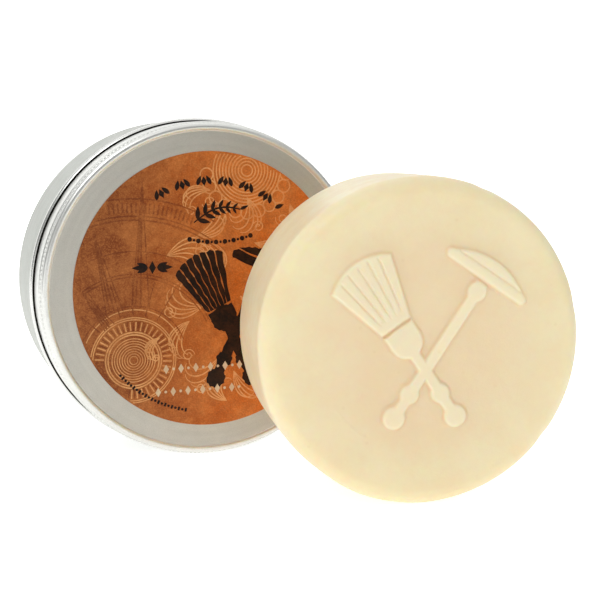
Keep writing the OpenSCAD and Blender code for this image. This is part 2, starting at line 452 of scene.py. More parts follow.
def razorDistance(x, y, e):
    barY, barHalf = e["barFoot"], (e["headWidth"] - e["bar"]) / 2
    capR = bowRadius(barHalf, e["crown"])
    cap = np.maximum(toDisc(x, y, 0, e["length"] - capR, capR), barY + e["bar"] / 2 - y)
    bar = toBox(x, y, 0, barY + e["bar"] / 2, 2 * barHalf, 0.01) - e["bar"] / 2
    return softUnion(handleDistance(x, y, e, barY) + [toDisc(x, y, 0, barY - e["ring"], e["ring"]), bar, cap])


def inTool(x, y, e, side):
    # a tool's own coordinates, from its handle's end up; side is 1 for the brush and -1 for the razor
    a = math.radians(e["lean"]) * side
    px, py = x, y - e["up"]
    return px * math.cos(a) + py * math.sin(a), -px * math.sin(a) + py * math.cos(a) + e["cross"]


def groove(distance, width):
    # 1 on a line, fading to 0 beside it
    return np.exp(-(distance / width) ** 2)


def emblemHeight(x, y, look):
    # relief over the face in metres, for x and y in metres
    e = emblem
    x, y = x / mm, y / mm
    bx, by = inTool(x, y, e, 1)
    rx, ry = inTool(x, y, e, -1)
    brush, razor = brushDistance(bx, by, e), razorDistance(rx, ry, e)
    inside = -softUnion([brush, razor])
    t = np.clip((inside * mm + 0.22 * mm) / look["emblemSlope"], 0, 1)
    relief = t * t * (3 - 2 * t)
    # lines in the hair, turned rings on the handles and the gap under the razor's cap
    hairFoot, barY = e["hairFoot"], e["barFoot"]
    fan = (by - hairFoot + 14) / (e["length"] - hairFoot + 14)
    lines = sum(groove(bx - k * 2.75 * fan, 0.27) for k in (-2, -1, 0, 1, 2))
    lines = lines * np.clip((by - hairFoot - 2.2) / 2.5, 0, 1) * np.clip((-brush - 0.5) / 1.2, 0, 1)
    lines = lines + groove(by - hairFoot + 0.2, 0.3) * (np.abs(bx) < e["collarWidth"] / 2 - 0.6)
    lines = lines + groove(ry - barY - e["bar"], 0.3) * (np.abs(rx) < e["headWidth"] / 2 - 2.6) * (ry > barY)
    return look["emblemRise"] * relief * (1 - 0.38 * np.clip(lines, 0, 1))


def smoothNoise(x, y, seed, size):
    # repeatable soft bumps from a few waves, about -1 to 1
    rng = np.random.default_rng(seed)
    total = np.zeros_like(x)
    for i in range(7):
        a, k, shift = rng.uniform(0, 2 * math.pi), (0.6 + 0.5 * i) * 2 * math.pi / size, rng.uniform(0, 7)
        total += np.sin(k * (x * math.cos(a) + y * math.sin(a)) + shift) / (1 + 0.5 * i)
    return total / 3.5


def makeSoapPuck(look):
    thick = puckDepth - look["emblemRise"]
    flatR = puckR - look["frontEdge"]
    fine = np.arange(look["faceStep"], look["emblemReach"], look["faceStep"])
    coarse = np.linspace(look["emblemReach"] + 0.4 * mm, flatR, 12)
    face = [(0, thick)] + [(r, thick) for r in (*fine, *coarse)]
    wallFoot, wallTop = look["backEdge"], thick - look["frontEdge"]
    outline = face + arc(flatR, wallTop, look["frontEdge"], 90, 0, 16)[1:]
    outline += [(puckR, z) for z in np.linspace(wallTop, wallFoot, look["wallRings"])[1:]]
    outline += arc(puckR - look["backEdge"], wallFoot, look["backEdge"], 0, -90, 8)[1:]
    outline += [(r, 0) for r in np.linspace(puckR - look["backEdge"], 0, 14)[1:]]
    verts, faces = spunMesh(outline, look["segments"])
    x, y, z = verts.T
    r = np.hypot(x, y)
    front = np.clip((z - wallTop) / look["frontEdge"], 0, 1)
    # the cast face and side are a little uneven, always inwards
    uneven = (smoothNoise(x, y, 3, 55 * mm) * 0.5 - 0.5) * look["waviness"]
    angle = np.arctan2(y, x)
    side = (smoothNoise(angle * puckR, z * 2.2, 8, 42 * mm) * 0.5 - 0.5) * look["waviness"] * 2.2
    z = z + uneven * front
    towardsSide = np.clip((r - flatR) / look["frontEdge"], 0, 1)
    inward = side * towardsSide * (z > look["backEdge"] * 0.5)
    for at, width, depth in look["knocks"]:
        run = (np.mod(angle - math.radians(at) + math.pi, 2 * math.pi) - math.pi) * puckR
        near = np.exp(-(run / (width * mm)) ** 2 - ((z - thick + 1.2 * mm) / ((1.6 + width) * mm)) ** 2)
        inward -= near * depth * mm * towardsSide
    turn = np.degrees(np.mod(angle, 2 * math.pi))
    seam = groove(r - look["seamR"], look["seamWidth"])
    seam = seam * np.clip((turn - look["seamFrom"]) / 9, 0, 1) * np.clip((look["seamTo"] - turn) / 9, 0, 1)
    z = z + (emblemHeight(x, y, look) + look["seamRise"] * seam) * (front >= 0.999)
    pull = 1 + inward / np.maximum(r, 1 * mm)
    verts = np.stack([x * pull, y * pull, z], 1)
    return newPiece("soapPuck", verts, faces, puckPlace, soapMaterial, 180)


def makeSoapMaterial(look):
    m, t, where = newMaterial("creamSoap")
    at = placeGroup(t, roundCoords, Vector=where)
    thick = puckDepth - look["emblemRise"]
    clouds = placeGroup(t, mottle, Vector=where, Patch_Size=look["cloudSize"], Break_Up=0.3)
    tight = placeGroup(t, grain, Vector=where, Grain_Size=look["grainSize"], Specks=0.25)
    bands = placeGroup(t, spunLines, Vector=where, Line_Width=look["streakWidth"],
                       Line_Length=look["streakLength"])
    toRim = between(t, at["Reach"], puckR * 0.42, puckR * 0.97)
    color = blendColor(t, toRim, look["middle"], look["rim"])
    color = blendColor(t, times(t, clouds["Mask"], look["cloudiness"]), color, look["deep"])
    onSide = between(t, at["Height"], thick - look["frontEdge"] * 0.3, thick - look["frontEdge"] * 1.4)
    streaky = times(t, times(t, bands["Streak"], onSide), look["streakiness"])
    color = blendColor(t, streaky, color, look["deep"])
    onEmblem = between(t, at["Height"], thick + 0.25 * mm, thick + 0.8 * mm)
    color = blendColor(t, times(t, onEmblem, 0.75), color, look["emblemTop"])
    # painted shade: a little darker, in the deep tone, where the emblem rises from the face, standing for the
    # shadow at its foot
    foot = times(t, between(t, at["Height"], thick - 0.02 * mm, thick + 0.12 * mm),
                 between(t, at["Height"], thick + 0.55 * mm, thick + 0.2 * mm))
    color = blendColor(t, times(t, foot, 0.35), color, look["deep"])
    color = blendColor(t, times(t, tight["Speck"], 0.5), color, look["speck"])
    height = plus(t, times(t, tight["Height"], 0.35), clouds["Fine"])
    setSurface(t, Base_Color=color, Roughness=between(t, clouds["Fine"], 0.3, 0.7, 0.36, 0.52),
               Normal=bumped(t, height, 0.22, 0.3 * mm), IOR=1.46, Coat_Weight=0.18, Coat_Roughness=0.32,
               Subsurface_Weight=0.75, Subsurface_Radius=look["scatter"],
               Subsurface_Scale=look["scatterDepth"], Subsurface_Anisotropy=0.3)
    return m


soapMaterial = makeSoapMaterial(soapLook)
soapPuck = makeSoapPuck(soapLook)
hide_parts("soap_puck")
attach(soapPuck, "puck")
print("soap puck made,", len(soapPuck.data.vertices), "points")


# Tin: satin aluminium, spun from one outline each

tinShape = {
    "sheet": 0.3 * mm, "footRise": 0.6 * mm, "footWidth": 2.4 * mm, "corner": 2 * mm,
    "bead": 1.1 * mm, "beadOut": 0.6 * mm, "mouthHollow": 0.2 * mm, "lidGap": 0.4 * mm,
    "threadRoom": 1.1 * mm, "easing": 0.35 * mm, "segments": 288,
}
lidShape = {
    "rimRise": 0.4 * mm, "shoulder": 1.2 * mm, "gripHeight": 1.2 * mm, "gripDepth": 0.4 * mm,
    "rollHollow": 0.05 * mm, "easing": 0.22 * mm, "knurls": 236, "knurlRise": 0.24 * mm, "knurlLean": 0.35,
}
threadShape = {"pitch": 3.2 * mm, "turns": 1.25, "rise": 0.6 * mm, "root": 1.3 * mm, "fade": 0.1}
metalLook = {
    "panel": {"color": rgb(201, 199, 191), "rough": 0.5, "grain": 0.35, "lines": 0.08},
    "side": {"color": rgb(194, 197, 191), "rough": 0.48, "grain": 0.2, "lines": 0.3},
    # painted highlight: the bead's light colour, brighter than the side, stands for the light it catches; its
    # lower roughness is a real polished finish
    "bead": {"color": rgb(242, 243, 240), "rough": 0.22},
    "rim": {"color": rgb(236, 237, 233), "rough": 0.32, "grain": 0.06, "lines": 0.14},
    "gap": {"color": rgb(22, 18, 15), "rough": 0.7},    # painted shade: the dark line under the lid's edge, where little light reaches
}
metalWear = {
    "lineWidth": 0.16 * mm, "lineLength": 30 * mm, "grainSize": 0.22 * mm, "cloudSize": 20 * mm,
    "streak": rgb(150, 150, 144), "cloud": rgb(205, 203, 196), "grain": rgb(150, 148, 138),
    "speck": rgb(120, 119, 112), "wornEdge": rgb(246, 246, 243), "roughVariety": 0.14,
}

bodyR = tinR - tinShape["beadOut"]
lidInR = lidR - tinShape["sheet"]
neckR = lidInR - tinShape["threadRoom"]
beadTop = lidFoot - tinShape["lidGap"]
gripR = lidR - lidShape["gripDepth"]
shoulderMid = gripR - lidShape["shoulder"]
rimAngle = 180 - math.degrees(math.asin(1 - lidShape["rimRise"] / lidShape["shoulder"]))
panelR = shoulderMid + lidShape["shoulder"] * math.cos(math.radians(rimAngle))
footOut = bodyR - tinShape["corner"]
footIn = footOut - tinShape["footWidth"]


def sheetSides(path, thickness, easing):
    # the outer side of a sheet as given, and its inner side the other way round
    return eased(path, easing), eased(insideOf(path, thickness), easing * 0.7)[::-1]


def makeTinBase(s):
    mouthRoll = s["sheet"] + s["mouthHollow"]
    beadStart = -math.degrees(math.acos(1 - s["beadOut"] / s["bead"]))
    path = [(0, s["footRise"]), (footIn - s["footRise"], s["footRise"]), (footIn, 0)]
    path += arc(footOut, s["corner"], s["corner"], -90, 0, 12)
    path += arc(tinR - s["bead"], beadTop - s["bead"], s["bead"], beadStart, 90, 20)
    path += [(neckR, beadTop)] + arc(neckR - mouthRoll, mouthTop - mouthRoll, mouthRoll, 0, 180, 14)
    outer, inner = sheetSides(path, s["sheet"], s["easing"])
    return spun("tinBody", outer + inner, s["segments"], tinPlace, bodyMetal)


def makeLid(s, t):
    roll = t["sheet"] + s["rollHollow"]
    path = arc(lidR - roll, lidFoot + roll, roll, -180, 0, 12)
    path += [(lidR, tinTop - s["shoulder"] - s["gripHeight"] - s["gripDepth"]),
             (gripR, tinTop - s["shoulder"] - s["gripHeight"])]
    path += arc(shoulderMid, tinTop - s["shoulder"], s["shoulder"], 0, rimAngle, 20)
    path += [(r, panelTop) for r in (panelR - 0.5 * mm, panelR - 1.5 * mm, panelR * 0.85, panelR * 0.5, 0)]
    outer, inner = sheetSides(path, t["sheet"], s["easing"])
    return spun("lidShell", inner + outer, t["segments"], tinPlace, lidMetal)


def makeKnurls(s):
    # a ring of small slanting beads round the grip band
    steps = 10
    segments = s["knurls"] * steps
    low, high = tinTop - s["shoulder"] - s["gripHeight"], tinTop - s["shoulder"] + 0.1 * mm
    run = np.arange(segments) / steps
    rows, verts = [], []

    def addRow(radii, z):
        rows.append(list(range(len(verts), len(verts) + segments)))
        angles = run / s["knurls"] * 2 * math.pi
        verts.extend(zip(radii * np.cos(angles), radii * np.sin(angles), np.full(segments, z)))

    sunk = gripR - 0.12 * mm
    addRow(np.full(segments, sunk), low)
    for z, v in zip(np.linspace(low, high, 13), np.linspace(-1, 1, 13)):
        u = 2 * np.mod(run + s["knurlLean"] * v, 1) - 1
        bead = np.sqrt(np.clip(1 - (np.abs(u) / 0.86) ** 2 - v ** 2, 0, 1))
        addRow(gripR + 0.02 * mm + s["knurlRise"] * bead, z)
    addRow(np.full(segments, sunk), high)
    rows.append(rows[0])
    return newPiece("lidKnurls", verts, bandFaces(rows, segments), tinPlace, gripMetal, 60)


def makeThread(name, s, wallR, side, startTurn, material):
    # a rounded ridge along a helix, fading out at both ends; side is 1 outside a wall and -1 inside one
    middle = beadTop + (mouthTop - tinShape["sheet"] - tinShape["mouthHollow"] - beadTop) / 2
    steps, points = int(120 * s["turns"]), 9
    section = np.linspace(-0.5, 0.5, points)
    verts = []
    for i in range(steps + 1):
        t = i / steps
        fade = min(1, min(t, 1 - t) / s["fade"])
        a = 2 * math.pi * (startTurn + s["turns"] * t)
        z0 = middle + s["pitch"] * s["turns"] * (t - 0.5)
        for k in section:
            r = wallR + side * s["rise"] * (fade * math.cos(math.pi * k) ** 0.75 * 0.98 - 0.02)
            verts.append((r * math.cos(a), r * math.sin(a), z0 + k * s["root"]))
        sunk = wallR - side * 0.12 * mm
        for k in (0.5, -0.5):
            verts.append((sunk * math.cos(a), sunk * math.sin(a), z0 + k * s["root"]))
    ring = points + 2
    rows = [tuple(range(i * ring, (i + 1) * ring)) for i in range(steps + 1)]
    faces = bandFaces(rows, ring) + [rows[0], rows[-1][::-1]]
    return newPiece(name, verts, faces, tinPlace, material, 50)


def inBand(tree, value, low, high, soft):
    rising = between(tree, value, low - soft, low + soft)
    return times(tree, rising, between(tree, value, high + soft, high - soft))


def makeMetal(name, look, bands=()):
    # bands: (how the band looks, share of the surface), where the share is built from the place on the turned
    # piece; the panel band is the panel's own colour, the bead band a painted highlight and the gap bands
    # painted shade
    w = metalWear
    m, t, where = newMaterial(name)
    at = placeGroup(t, roundCoords, Vector=where)
    lines = placeGroup(t, spunLines, Vector=where, Line_Width=w["lineWidth"], Line_Length=w["lineLength"])
    tight = placeGroup(t, grain, Vector=where, Grain_Size=w["grainSize"], Specks=0.3)
    clouds = placeGroup(t, mottle, Vector=where, Patch_Size=w["cloudSize"], Break_Up=0.35)
    worn = placeGroup(t, edgeWear, Vector=where, Start=0.51, End=0.6)
    color, rough, wear = look["color"], look["rough"], worn["Mask"]
    for finish, share in bands:
        mask = share(t, at)
        color = blendColor(t, mask, color, finish["color"])
        rough = plus(t, rough, times(t, mask, minus(t, finish["rough"], rough)))
        wear = times(t, wear, minus(t, 1.0, mask))
    for share, shade in ((times(t, lines["Streak"], look["lines"] * 0.5), w["streak"]),
                         (times(t, clouds["Mask"], 0.1), w["cloud"]),
                         (between(t, tight["Height"], 0.42, 0.7, 0.0, 0.16), w["grain"]),
                         (times(t, tight["Speck"], 0.4), w["speck"])):
        color = blendColor(t, share, color, shade, "MULTIPLY")
    color = blendColor(t, times(t, wear, 0.5), color, w["wornEdge"])
    rough = plus(t, rough, times(t, minus(t, clouds["Fine"], 0.5), w["roughVariety"]))
    height = plus(t, times(t, lines["Height"], look["lines"]), times(t, tight["Height"], look["grain"]))
    setSurface(t, Base_Color=color, Roughness=rough, Metallic=1.0, Normal=bumped(t, height, 0.25, 0.12 * mm))
    return m


def beadHighlight(t, at):
    # painted highlight band on the bead
    beadFoot = beadTop - 2 * tinShape["bead"] + 0.2 * mm
    return inBand(t, at["Height"], beadFoot, beadTop, 0.1 * mm)


def bodyGapShade(t, at):
    # painted shade: a narrow dark ring on the ledge, right under the lid's edge
    low = inBand(t, at["Height"], beadTop - 0.4 * mm, beadTop + 0.3 * mm, 0.1 * mm)
    return times(t, low, inBand(t, at["Reach"], lidR - 0.5 * mm, lidR + 0.4 * mm, 0.1 * mm))


def lidGapShade(t, at):
    # painted shade under the rolled edge, and a little way up its outside
    outside = between(t, at["Height"], lidFoot + 0.34 * mm, lidFoot + 0.18 * mm)
    under = between(t, at["Height"], lidFoot + 0.8 * mm, lidFoot + 0.5 * mm)
    under = times(t, under, between(t, at["Reach"], lidR - 0.1 * mm, lidR - 0.3 * mm))
    return maths(t, "MAXIMUM", outside, under)


def onPanel(t, at):
    return between(t, at["Reach"], panelR + 0.15 * mm, panelR - 0.15 * mm)


# the bead band is a painted highlight and the gap bands are painted shade
bodyBands = [(metalLook["bead"], beadHighlight), (metalLook["gap"], bodyGapShade)]
lidBands = [(metalLook["panel"], onPanel), (metalLook["gap"], lidGapShade)]
bodyMetal = makeMetal("satinAluminiumBody", metalLook["side"], bodyBands)
lidMetal = makeMetal("satinAluminiumLid", metalLook["rim"], lidBands)
gripMetal = makeMetal("brightKnurling", metalLook["rim"])

tinBody = makeTinBase(tinShape)
neckThread = makeThread("neckThread", threadShape, neckR, 1, 0, bodyMetal)
lidShell = makeLid(lidShape, tinShape)
lidKnurls = makeKnurls(lidShape)
lidThread = makeThread("lidThread", threadShape, lidInR, -1, 0.5, lidMetal)
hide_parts("tin_base")
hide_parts("tin_lid")
for piece, body, slot in ((tinBody, "tin", "tin"), (neckThread, "tin", "tin"), (lidShell, "lid", "lid"),
                          (lidKnurls, "lid", "lid"), (lidThread, "lid", "lid")):
    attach(piece, body)
print("tin and lid made")


# Foam liner inside the lid

linerLook = {
    "edge": 0.25 * mm, "dish": 0.06 * mm, "cellsPerMetre": 2600.0, "cloudSize": 10 * mm,
    "color": rgb(240, 240, 236), "shade": rgb(222, 221, 212),
}


def makeLiner(look):
    r = (linerHigh.x - linerLow.x) / 2
    low, high = baseHigh.y - linerHigh.y, baseHigh.y - linerLow.y
    e = look["edge"]
    outline = [(0, low + look["dish"]), (r * 0.5, low + look["dish"] * 0.6), (r - 3 * mm, low)]
    outline += arc(r - e, low + e, e, -90, 0, 6) + arc(r - e, high - e, e, 0, 90, 6)
    outline += [(r * 0.5, high), (0, high)]
    return spun("foamLiner", outline, 192, tinPlace, makeFoam(look))


def makeFoam(look):
    m, t, where = newMaterial("whiteFoam")
    cells = add(t, "ShaderNodeTexVoronoi", {"feature": "DISTANCE_TO_EDGE"}, Vector=where,
                Scale=look["cellsPerMetre"])
    clouds = placeGroup(t, mottle, Vector=where, Patch_Size=look["cloudSize"], Break_Up=0.5)
    color = blendColor(t, times(t, clouds["Mask"], 0.2), look["color"], look["shade"])
    setSurface(t, Base_Color=color, Roughness=0.75, Subsurface_Weight=0.2, Subsurface_Scale=1 * mm,
               Normal=bumped(t, cells.outputs["Distance"], 0.35, 0.1 * mm))
    return m


foamLiner = makeLiner(linerLook)
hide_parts("lid_liner")
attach(foamLiner, "liner")
print("liner made")


# Print on the labels: outlines in millimetres from the middle of a label, x right and y up

labelLook = {
    "left": rgb(118, 58, 24), "right": rgb(222, 112, 34), "light": rgb(230, 150, 82),
    "dark": rgb(108, 50, 20), "edge": 0.06 * mm, "printR": 35.8,
    "turnsBrown": -30 * mm, "turnsOrange": 20 * mm, "cloudSize": 9 * mm, "shadeSize": 3.4 * mm,
    "fibreSize": 0.35 * mm, "speckSize": 0.28 * mm, "fadeSize": 4.5 * mm,
    # each ink lies a step above the last, and each stroke a hair above the last stroke
    "inkRise": 0.004 * mm, "inkStep": 0.016 * mm, "strokeStep": 0.0006 * mm, "strokeSteps": 24,
}
inks = {                        # colour, how strongly it covers the paper, how patchy it is
    "paleEngraving": (rgb(240, 180, 116), 0.7, 0.65),
    "darkEngraving": (rgb(96, 40, 16), 0.6, 0.7),
    "blackInk": (rgb(18, 12, 8), 1.0, 0.06),
    "beigeInk": (rgb(222, 204, 168), 0.85, 0.3),
}


def circlePoints(cx, cy, r, start=0, end=360):
    return arc(cx, cy, r, start, end, max(12, int(abs(end - start) / 4 * max(1, r / 12))))


def disc(cx, cy, r):
    return circlePoints(cx, cy, r)[:-1]


def spiral(cx, cy, r, start, turns, shrink=0.25, steps=26):
    # a curl that winds in from radius r
    t = np.linspace(0, 1, steps)
    a = np.radians(start) + t * turns * 2 * math.pi
    reach = r * (1 - t * (1 - shrink))
    return list(zip(cx + reach * np.cos(a), cy + reach * np.sin(a)))


def kept(points, limit):
    # the runs of a line that lie inside the printed circle
    runs, run = [], []
    for p in points:
        if math.hypot(*p) < limit:
            run.append(p)
        else:
            runs.append(run)
            run = []
    return [r for r in runs + [run] if len(r) > 2]


class Print:
    # collects the lines and filled outlines of one ink, then makes them one thin raised piece

    def __init__(self):
        self.verts, self.faces, self.count = [], [], 0

    def line(self, points, width, taper=0.0):
        for run in kept(points, labelLook["printR"]):
            p = np.array(run, float)
            d = np.gradient(p, axis=0)
            n = np.stack([-d[:, 1], d[:, 0]], 1) / np.maximum(np.linalg.norm(d, axis=1), 1e-9)[:, None]
            share = 1 - taper + taper * np.sin(np.linspace(0.05, math.pi - 0.05, len(p)))
            left, right = p + n * (share * width / 2)[:, None], p - n * (share * width / 2)[:, None]
            self.fill(np.vstack([left, right[::-1]]), strip=len(p))

    def fill(self, outline, strip=0):
        # each shape has its own height, so that no two tops lie in one plane
        p = [tuple(q) for q in outline]
        area = sum(a[0] * b[1] - a[1] * b[0] for a, b in zip(p, p[1:] + p[:1]))
        if area > 0 and not strip:
            p.reverse()
        n, first = len(p), len(self.verts)
        top = 1 + self.count % labelLook["strokeSteps"]
        self.count += 1
        self.verts += [(x, y, top) for x, y in p] + [(x, y, 0) for x, y in p]
        around = [(first + i, first + (i + 1) % n) for i in range(n)]
        self.faces += [(a, b, b + n, a + n) for a, b in around]
        if strip:
            for side in (0, n):
                for i in range(strip - 1):
                    quad = [first + side + k for k in (i, i + 1, n - 2 - i, n - 1 - i)]
                    self.faces.append(tuple(quad[::-1]) if side == 0 else tuple(quad))
        else:
            self.faces.append(tuple(range(first + n - 1, first - 1, -1)))
            self.faces.append(tuple(range(first + n, first + 2 * n)))

    def finish(self, name, place, surface, material):
        v = np.array(self.verts) * mm
        strokes = np.array(self.verts)[:, 2]
        tops = labelLook["inkRise"] + strokes * labelLook["strokeStep"]
        v[:, 2] = surface + np.where(strokes > 0, tops, -0.02 * mm)
        return newPiece(name, v, self.faces, place, material, 30)


def polar(cx, cy, r, turn):
    return cx + r * math.cos(math.radians(turn)), cy + r * math.sin(math.radians(turn))


def turned(points, cx, cy, turn):
    # points turned about (0, 0) and then moved to (cx, cy)
    c, s = math.cos(math.radians(turn)), math.sin(math.radians(turn))
    return [(cx + x * c - y * s, cy + x * s + y * c) for x, y in points]


def lozenge(cx, cy, w, h, turn=0):
    return turned(((w / 2, 0), (0, h / 2), (-w / 2, 0), (0, -h / 2)), cx, cy, turn)


def leaf(cx, cy, length, width, turn):
    # a pointed leaf that starts at (cx, cy)
    t = np.linspace(0, 1, 9)
    w = width / 2 * np.sin(math.pi * t ** 0.8)
    upper = [(length * u, v) for u, v in zip(t, w)]
    return turned(upper + [(x, -y) for x, y in upper[-2:0:-1]], cx, cy, turn)


def rosette(pale, dark, cx, cy, size):
    # an engine-turned rosette: rings, then a band of fine rays
    for r in np.arange(0.1, 0.56, 0.062):
        pale.line(circlePoints(cx, cy, size * r), 0.26)
    for r in (0.63, 0.69):
        pale.line(circlePoints(cx, cy, size * r), 0.4)
    for i in range(80):
        ray = [polar(cx, cy, size * r, 360 / 80 * i) for r in (0.73, 0.84, 0.95)]
        (pale if i % 2 else dark).line(ray, 0.36)
    for r in (1.0, 1.05):
        pale.line(circlePoints(cx, cy, size * r), 0.3)


def plume(pale, x, y, heading, length, curl, strands=5, spread=44):
    # a feathered scroll: strands that leave one point and roll up at their ends
    for k in range(strands):
        share = k / max(1, strands - 1)
        a = math.radians(heading + (share - 0.5) * spread)
        reach = length * (0.6 + 0.4 * math.sin(math.pi * (0.25 + 0.6 * share)))
        points, px, py = [(x, y)], x, y
        steps = 22
        for i in range(steps):
            t = i / steps
            a += math.radians(curl * (0.2 + 1.9 * t * t)) / steps * (1.5 - 0.7 * share)
            px, py = px + math.cos(a) * reach / steps, py + math.sin(a) * reach / steps
            points.append((px, py))
        pale.line(points, 0.38, 0.6)
    pale.line(spiral(px, py, length * 0.13, heading + curl, math.copysign(1.4, curl)), 0.34, 0.5)


def compassSpike(dark, tip, foot, width):
    # a long needle: its edges, its middle and one more line on its left
    tip, foot = Vector(tip), Vector(foot)
    side = (foot - tip).orthogonal().normalized() * width / 2
    for k, line in ((-1, 0.34), (-0.55, 0.5), (0, 0.5), (1, 0.34)):
        dark.line([tuple(tip + (foot + side * k - tip) * t) for t in (0, 0.25, 0.5, 0.75, 1)], line)


def toolOutlines(e):
    # the brush and the razor standing on their handle's end, as simple outlines
    collarY, hairFoot, barY = e["collarFoot"], e["hairFoot"], e["barFoot"]
    h, c, barR = e["handle"] / 2, e["collarWidth"] / 2, e["bar"] / 2

    def handle(length):
        return [disc(0, e["knob"], e["knob"]), disc(0, e["ringAt"], e["ring"]),
                [(-h, e["knob"]), (h, e["knob"]), (h, length), (-h, length)]]

    brush = handle(collarY) + [disc(0, collarY, c)]
    brush.append([(-c, collarY), (c, collarY), (c, hairFoot - 0.7), (-c, hairFoot - 0.7)])
    strands = 7
    for k in range(strands):
        low, high = [(-1 + 2 * (k + s) / strands) for s in (0.07, 0.93)]
        mid, w = (low + high) / 2, e["hairWidth"] / 2
        top = [e["length"] - e["crown"] * v * v for v in (low, mid, high)]
        brush.append([(low * c, hairFoot), (low * w, top[0]), (mid * w, top[1] + 0.4), (high * w, top[2]),
                      (high * c, hairFoot)])
    head = e["headWidth"] / 2 - barR
    razor = handle(barY) + [disc(0, barY - e["ring"], e["ring"])]
    razor.append(arc(-head, barY + barR, barR, 90, 270, 12) + arc(head, barY + barR, barR, -90, 90, 12))
    capR = bowRadius(head, e["crown"])
    half = math.degrees(math.asin(head / capR))
    razor.append([(x, y + 0.5) for x, y in arc(0, e["length"] - capR, capR, 90 - half, 90 + half, 20)])
    return brush, razor


def crossedTools(black, x, y, scale, lean, cross):
    for outlines, side in zip(toolOutlines(emblem), (1, -1)):
        for outline in outlines:
            sized = [(px * scale, (py - cross) * scale) for px, py in roughened(outline)]
            black.fill(turned(sized, x, y, lean * side))


def roughened(outline, step=1.4, depth=0.16):
    # the uneven edge of hand-cut print
    out = []
    for a, b in zip(outline, outline[1:] + outline[:1]):
        n = max(1, int(math.dist(a, b) / step))
        for i in range(n):
            x, y = a[0] + (b[0] - a[0]) * i / n, a[1] + (b[1] - a[1]) * i / n
            out.append((x + depth * math.sin(2.3 * x + 3.1 * y), y + depth * math.sin(3.7 * x - 1.9 * y + 1)))
    return out


def sprig(black, x, y, size):
    # a bent laurel sprig with leaves in pairs
    steps = np.linspace(0, 1, 14)
    stem = [(x + size * (t - 0.5), y - 0.5 + size * (0.16 * math.sin(3.1 * t) + 0.25 * t)) for t in steps]
    black.line(stem, 0.5, 0.4)
    for i in range(1, 13, 2):
        a = math.degrees(math.atan2(stem[i + 1][1] - stem[i][1], stem[i + 1][0] - stem[i][0]))
        reach = size * 0.3 * (1 - 0.045 * i)
        for turn in (52, -48):
            black.fill(leaf(*stem[i], reach, reach * 0.36, a + turn))
    black.fill(leaf(*stem[-1], size * 0.2, size * 0.07, 22))


lidPrintLook = {                # places, radii and widths in millimetres, directions in degrees
    "rosette": (-20.9, -17.5), "rosetteSize": 10.6,
    # rings round the rosette: ink, radius, width, start and end
    "rings": (("pale", 13.2, 0.3, 20, 190), ("dark", 14.1, 0.3, 20, 190), ("dark", 21.6, 0.34, 25, 125),
              ("dark", 22.4, 0.34, 25, 125), ("dark", 28.2, 0.3, 40, 112), ("dark", 36.2, 0.42, 48, 108),
              ("dark", 37.2, 0.34, 48, 108), ("dark", 41.6, 0.42, 58, 104)),
    # rows of short spokes round the rosette: radii of their points, start, step, count and width
    "spokes": (((38, 39.2, 40.6), 66, 1.7, 24, 0.5), ((11.8, 15, 18, 21), 58, 16, 9, 0.3)),
    # needles: tip, foot and width
    "needles": (((-17.9, 28.4), (-18.9, -4), 4.6), ((-30.5, 15.6), (-25.6, -5), 4.4),
                ((-33.6, 0.5), (-27, -8.5), 3.0)),
    # a ringed rosette at the top right, and its scallops: radius, size, start, step and count
    "ringed": (10, 31), "ringedRadii": (1.5, 9.2, 0.85), "scallops": (11, 1.7, 185, 17, 11),
    # feathered scrolls: x, y, direction, length and curl
    "scrolls": (
        (-12, 9, 32, 17, -210), (-4, 14, 8, 15, 190), (2, 3, 70, 13, 170), (12, 12, -20, 15, 180),
        (-2, -4, 200, 14, -170), (8, -2, -50, 18, 190), (10, 24, -60, 12, -150), (22, 22, -80, 14, 190),
        (20, 2, 95, 12, 160), (-6, -8, 215, 13, 150), (2, -18, 250, 14, -170), (6, -22, -75, 15, 180),
        (14, -14, -30, 13, 170), (0, 26, 170, 11, 170), (4, -30, 150, 10, -150), (26, 10, -60, 12, -170),
        (-14, -12, 205, 8, 160), (18, -24, -20, 12, 150)),
    # an arc of leaves, an arc of dots and the ticks at the edge: radius, start, end and count
    "leafArc": (28.4, 121, 50, 19), "dotArc": (30, -104, -72, 15), "tickArc": (32.4, 221, 257, 22),
    "dotMiddle": (1.6, 42.5), "sprig": (1.8, 18.2, 12.5), "fleuron": (-15.6, 6.4),
    "tools": (6, -13, 0.84, 25, 17),                            # x, y, scale, lean and crossing
    "rows": ((-20.4, -12.4, 11), (-26.4, -14.6, 12)),           # y, start and count
}


